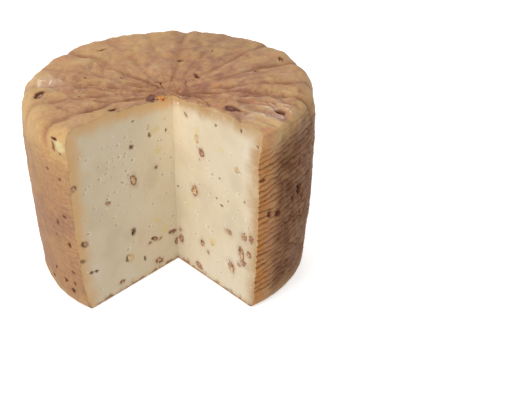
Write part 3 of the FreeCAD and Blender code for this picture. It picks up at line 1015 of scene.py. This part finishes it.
def face_colour(t, z, to_top, to_foot, to_side, hole, dark, shade, light, cut):
    seed = cut.seed
    cloud = rough(t / 30, z / 30, seed + 0.5, 3)
    fine = rough(t / 6, z / 6, seed + 3.5, 3)
    ragged = 1 + 0.35 * noise(t / 9, z / 9, seed + 8.5)
    width = cut.honey_width * ragged
    rind_side = np.maximum(fade(to_top, 1.5, width), fade(to_side, 1.5, 1.25 * width))
    by_foot = fade(to_foot, 0.5, 5 * ragged)
    mauve_foot = ease(noise(t / 5, 0, seed), 0, 0.5) * by_foot
    sole_line = fade(to_foot + 1.5 * rough(t / 5, z / 3, seed + 1.5, 3), 0.1, 1.5)
    tone = layered(
        CREAM + 0 * t[..., None], (STRAW, 0.4 + 0.6 * cloud), (cut.honey, 0.95 * rind_side),
        (cut.honey, 0.4 * by_foot), (ASH, 0.28 * ease(cloud, 0.15, 0.6) * (1 - rind_side)),
        (STRAW, 0.35 * ease(fine, 0.2, 0.7)),
        (RIM_TAN, 0.6 * fade(np.minimum(to_top, to_side), 0, 1.2)),
    )
    tone = tone * (1 + 0.16 * bell(t, 26) * ease(z, 50, 110))[..., None]
    return layered(
        tone, (STAIN, 0.8 * mauve_foot), (STAIN, 0.35 * stains_in(t, z, cut.chips, seed)),
        # the tears' painted highlight and painted shade
        (LEMON, 0.5 * stains_in(t, z, cut.lemons, seed + 4)), (TEAR_HIGHLIGHT, light), (TEAR_SHADE, shade),
        # the darkest colour, growing with a hole's depth, is painted shade in it
        (SOLE_BROWN, 0.8 * sole_line), (HOLE_BROWN, dark), (HOLE_SHADE_BLACK, ease(hole, 1.2, 2.4)),
    )


def face_swell(t, z, seed):
    """The slow swell of a cut face, always a little proud of the rind's cut."""
    return np.maximum(0.08 + 0.3 * rough(t / 38, z / 38, seed, 2), 0.04)


def paste_slab(cut):
    """One cut face: a slab whose front lies in the knife's plane."""
    grid, *to_edges = face_grid(cut)
    t, z = grid[..., 0], grid[..., 1]
    hole, dark = holes_in(t, z, cut)
    # shade and light: the painted shade and painted highlight of the tears
    tear, shade, light = small_tears(t, z, cut.seed, *cut.tears)
    grain = 0.03 * rough(t / 3, z / 3, cut.seed + 2.5, 3)
    proud = face_swell(t, z, cut.seed) * ease(np.minimum.reduce(to_edges), -4, 12) + grain
    proud = np.maximum(proud, 0.05) - hole - tear
    points = CORNER_FOOT + t[..., None] * cut.ahead + proud[..., None] * cut.normal
    points[..., 2] += z
    points = points.reshape(-1, 3)
    index = np.arange(t.size).reshape(t.shape)
    faces = grid_faces(index, True)
    sides = index[0, :-1], index[:-1, -1], index[-1, :0:-1], index[:0:-1, 0]
    loop = np.concatenate(sides).tolist()
    ring = points[loop]
    middle = ring.mean(axis=0)
    back = ring + SLAB_TAPER * (middle - ring) - SLAB_DEPTH * cut.normal
    first = len(points)
    points = np.concatenate([points, back, [middle - SLAB_DEPTH * cut.normal]])
    back_loop = list(range(first, first + len(loop)))
    faces += band(loop, back_loop) + fan(first + len(loop), back_loop)
    if cut.turn < 0:
        faces = [face[::-1] for face in faces]
    colour = face_colour(t, z, *to_edges, hole, dark, shade, light, cut).reshape(-1, 3)
    colour = np.concatenate([colour, [STRAW] * (len(loop) + 1)])
    make_object(cut.name, points, faces, PASTE_LOOK, {"tone": colour}, loop)


paste_slab(LEFT)
paste_slab(RIGHT)


# ---- chips, kernels, crystals and flecks
def lump(centre, axes, width, tall, rng, proud):
    """Points of one flattened lump with an uneven outline, set into a surface with these axes."""
    phase = rng.uniform(0, 50)
    turns = np.arange(SPOKES) / SPOKES * 2 * math.pi
    outline = 1.05 + 0.42 * noise(1.9 * np.cos(turns) + phase, 1.9 * np.sin(turns), phase)
    outline = outline + 0.12 * noise(6 * np.cos(turns), 6 * np.sin(turns) + phase, phase)
    share = RING_SHARES[:, None]
    u = share * outline * np.cos(turns) * width / 2
    v = share * outline * np.sin(turns) * tall / 2
    crown = proud * (1 - share**3) + 0.28 * noise(u / 1.1 + phase, v / 1.1, 0.5) * (1 - share**2)
    crown[-1] -= 0.12
    u = np.concatenate([[0], u.ravel(), 0.8 * u[-1], [0]])
    v = np.concatenate([[0], v.ravel(), 0.8 * v[-1], [0]])
    w = np.concatenate([[0.6 * proud], crown.ravel(), np.full(SPOKES + 1, -LUMP_DEPTH)])
    return centre + np.stack([u, v, w], axis=1) @ axes


def lump_faces(start):
    loops = (start + 1 + np.arange((RINGS + 1) * SPOKES)).reshape(RINGS + 1, SPOKES).tolist()
    faces = fan(start, loops[0])
    for inner, outer in zip(loops, loops[1:]):
        faces += band(inner, outer)
    return faces + fan(loops[-1][-1] + 1, loops[-1][::-1])


def build_lumps(name, pieces, look):
    """One mesh from the points of all lumps of a kind."""
    faces = [face for k, piece in enumerate(pieces) for face in lump_faces(k * len(piece))]
    edge = np.concatenate([[0], np.repeat(RING_SHARES, SPOKES), np.ones(SPOKES + 1)])
    edges = np.tile(edge, len(pieces))
    make_object(name, np.concatenate(pieces), faces, chip_material(*look), {"edge": edges})


def set_in_face(cut, marks, rng, proud=0.22):
    lumps = []
    for at, level, width, tall, lean in marks:
        u, v = plan(lean, 1)
        axes = np.array([u * cut.ahead + v * UPRIGHT, u * UPRIGHT - v * cut.ahead, cut.normal])
        swell = float(face_swell(at, level, cut.seed))
        centre = CORNER_FOOT + at * cut.ahead + level * UPRIGHT + swell * cut.normal
        lumps.append(lump(centre, axes, width, tall, rng, proud))
    return lumps


def set_in_top(marks, rng, proud=0.3):
    lumps = []
    for bearing, radius, length, width, turn in marks:
        at = np.array([bearing]), np.array([radius])
        hollow, _ = relief(*at, np.array([TOP]), np.zeros(1))
        centre = radius * heading(bearing) + float(top_height(*at, hollow)[0]) * UPRIGHT
        axes = np.array([heading(bearing + turn), heading(bearing + turn + 90), UPRIGHT])
        lumps.append(lump(centre, axes, length, width, rng, proud))
    return lumps


def set_in_side(marks, rng, proud=0.3):
    lumps = []
    for bearing, height, width, tall in marks:
        plain = side_stations(height, height, 1)[0]
        hollow, _ = relief(np.array([bearing]), plain, np.array([height]), np.ones(1))
        radius = float(plain[0] + lip_swell(bearing, height) - hollow[0])
        normal = heading(bearing)
        axes = np.array([heading(bearing + 90), UPRIGHT, normal])
        lumps.append(lump(radius * normal + height * UPRIGHT, axes, width, tall, rng, proud))
    return lumps


def random_spots(count, rng):
    spots = []
    for _ in range(count):
        at, level = rng.uniform(6, 88), rng.uniform(8, 126)
        size = rng.uniform(0.7, 1.9)
        spots.append((at, level, size, size * rng.uniform(0.6, 1.1), rng.uniform(0, 180)))
    return spots


rng = np.random.default_rng(5)
chips = set_in_top(TOP_CHIPS, rng)
dark_lumps = set_in_top(TOP_LUMPS, rng, 1.5)
chips += set_in_side(SIDE_CHIPS, rng)
flecks = set_in_top(TOP_FLECKS, rng, 1) + set_in_side(SIDE_FLECKS, rng)
chips += set_in_face(LEFT, LEFT.chips, rng) + set_in_face(RIGHT, RIGHT.chips, rng)
kernels = set_in_face(LEFT, LEFT.kernels, rng, 0.5) + set_in_face(RIGHT, RIGHT.kernels, rng, 0.5)
crystals = []
for cut in (LEFT, RIGHT):
    crystals += set_in_face(cut, random_spots(cut.crystals, rng), rng, 0.2)

# each kind: its lumps and name, its material with three colours, the skin's rim and the roughness
for pieces, name, *look in (
    (chips, "walnut_chips", "walnut_chip", (200, 160, 120), (150, 102, 76), (104, 66, 50),
     (0.3, 0.9), (0.5, 0.8)),
    (dark_lumps, "walnut_lumps", "dark_walnut", (134, 80, 62), (104, 54, 42), (70, 32, 26),
     (0.3, 0.9), (0.6, 0.85)),
    (kernels, "walnut_kernels", "walnut_kernel", (224, 198, 154), (208, 174, 130), (186, 144, 106),
     (0.4, 1.1), (0.5, 0.7)),
    (crystals, "milk_crystals", "milk_crystal", (244, 238, 222), (230, 216, 186), (214, 198, 166),
     (0.4, 1.1), (0.3, 0.5)),
    (flecks, "ochre_flecks", "ochre_fleck", (236, 160, 44), (196, 70, 30), (150, 40, 26),
     (0.6, 1.1), (0.4, 0.6)),
):
    build_lumps(name, pieces, look)

# ---- floor, light and camera
WHITE = (1, 1, 1)
FLOOR_GREY = (0.8, 0.8, 0.8)
FLOOR_HALF = 4
FLOOR_GAP = 0.0002
FLOOR_GLOW = 0.58
AMBIENT = 0.34
middle = Vector((0.0, 0.0, high.z / 2))


def area_light(name, direction, distance, size, power):
    lamp = bpy.data.lights.new(name, "AREA")
    lamp.shape = "DISK"
    lamp.size = size
    lamp.energy = power
    obj = bpy.data.objects.new(name, lamp)
    aim = Vector(direction).normalized()
    obj.location = middle + distance * aim
    obj.rotation_euler = aim.to_track_quat("Z", "Y").to_euler()
    to_scene(obj)


def seen_directly(tree):
    """1 where the camera or a reflection looks, and 0 where a surface gathers its light."""
    rays = add_node(tree, "LightPath", {}).outputs
    return maths("MAXIMUM", rays["Is Camera Ray"], rays["Is Glossy Ray"])


# white to look at, and a weaker light on the wheel
world = bpy.data.worlds.new("studio")
bpy.context.scene.world = world
world.use_nodes = True
tree = world.node_tree
feed(tree.nodes["Background"], {
    "Color": WHITE, "Strength": ranged(seen_directly(tree), 0, 1, AMBIENT, 1),
})

corners = ((-1, -1), (1, -1), (1, 1), (-1, 1))
floor_mesh = bpy.data.meshes.new("studio_floor")
floor_mesh.from_pydata([(FLOOR_HALF * x, FLOOR_HALF * y, 0) for x, y in corners], [], [(0, 1, 2, 3)])
floor = bpy.data.objects.new("studio_floor", floor_mesh)
floor.location.z = low.z - FLOOR_GAP
to_scene(floor)
floor_material, tree, shader = new_material("studio_floor")
feed(shader, {
    "Base Color": FLOOR_GREY, "Roughness": 0.9, "Emission Color": WHITE,
    "Emission Strength": ranged(seen_directly(tree), 0, 1, 0, FLOOR_GLOW),
})
floor_mesh.materials.append(floor_material)

# each light: name, direction from the wheel, distance, size and power
for light in (
    ("key", (-0.55, -0.78, 0.55), 1.5, 0.7, 11.2),
    ("fill", (0.30, -1, 0.55), 1.8, 1.2, 5.2),
    ("back", (0.05, 0.65, 0.85), 1.6, 0.6, 5.4),
    ("back_left", (-0.8, 0.6, 0.4), 1.6, 0.8, 3.2),
    ("back_right", (0.7, 0.7, 0.4), 1.6, 0.8, 2.4),
):
    area_light(*light)

# the camera stands in front, a little to the right, and looks down on the wheel
CAMERA_AZIMUTH = 0.13794
CAMERA_ELEVATION = 0.47733
CAMERA_DISTANCE = 0.8207
CAMERA_PAN = -0.08049
CAMERA_TILT = -0.03458
CAMERA_ROLL = 0.00333
CAMERA_CENTRE = Vector((0, 0, 0.0694))
SENSOR_WIDTH = 36
FOCAL_WIDTHS = 2.26493

up = Vector((0, 0, 1))
back = Vector((
    math.sin(CAMERA_AZIMUTH) * math.cos(CAMERA_ELEVATION),
    -math.cos(CAMERA_AZIMUTH) * math.cos(CAMERA_ELEVATION),
    math.sin(CAMERA_ELEVATION),
))
right = (-back).cross(up).normalized()
axes = Matrix((right, right.cross(-back), back)).transposed()
axes = Matrix.Rotation(CAMERA_PAN, 3, up) @ axes
axes = Matrix.Rotation(CAMERA_TILT, 3, axes.col[0]) @ axes
axes = Matrix.Rotation(CAMERA_ROLL, 3, -axes.col[2]) @ axes

camera_data = bpy.data.cameras.new("camera")
camera_data.sensor_width = SENSOR_WIDTH
camera_data.lens = SENSOR_WIDTH * FOCAL_WIDTHS
camera = bpy.data.objects.new("camera", camera_data)
camera.matrix_world = Matrix.Translation(CAMERA_CENTRE + CAMERA_DISTANCE * back) @ axes.to_4x4()
to_scene(camera)
bpy.context.scene.camera = camera
bpy.context.scene.view_settings.view_transform = "Standard"
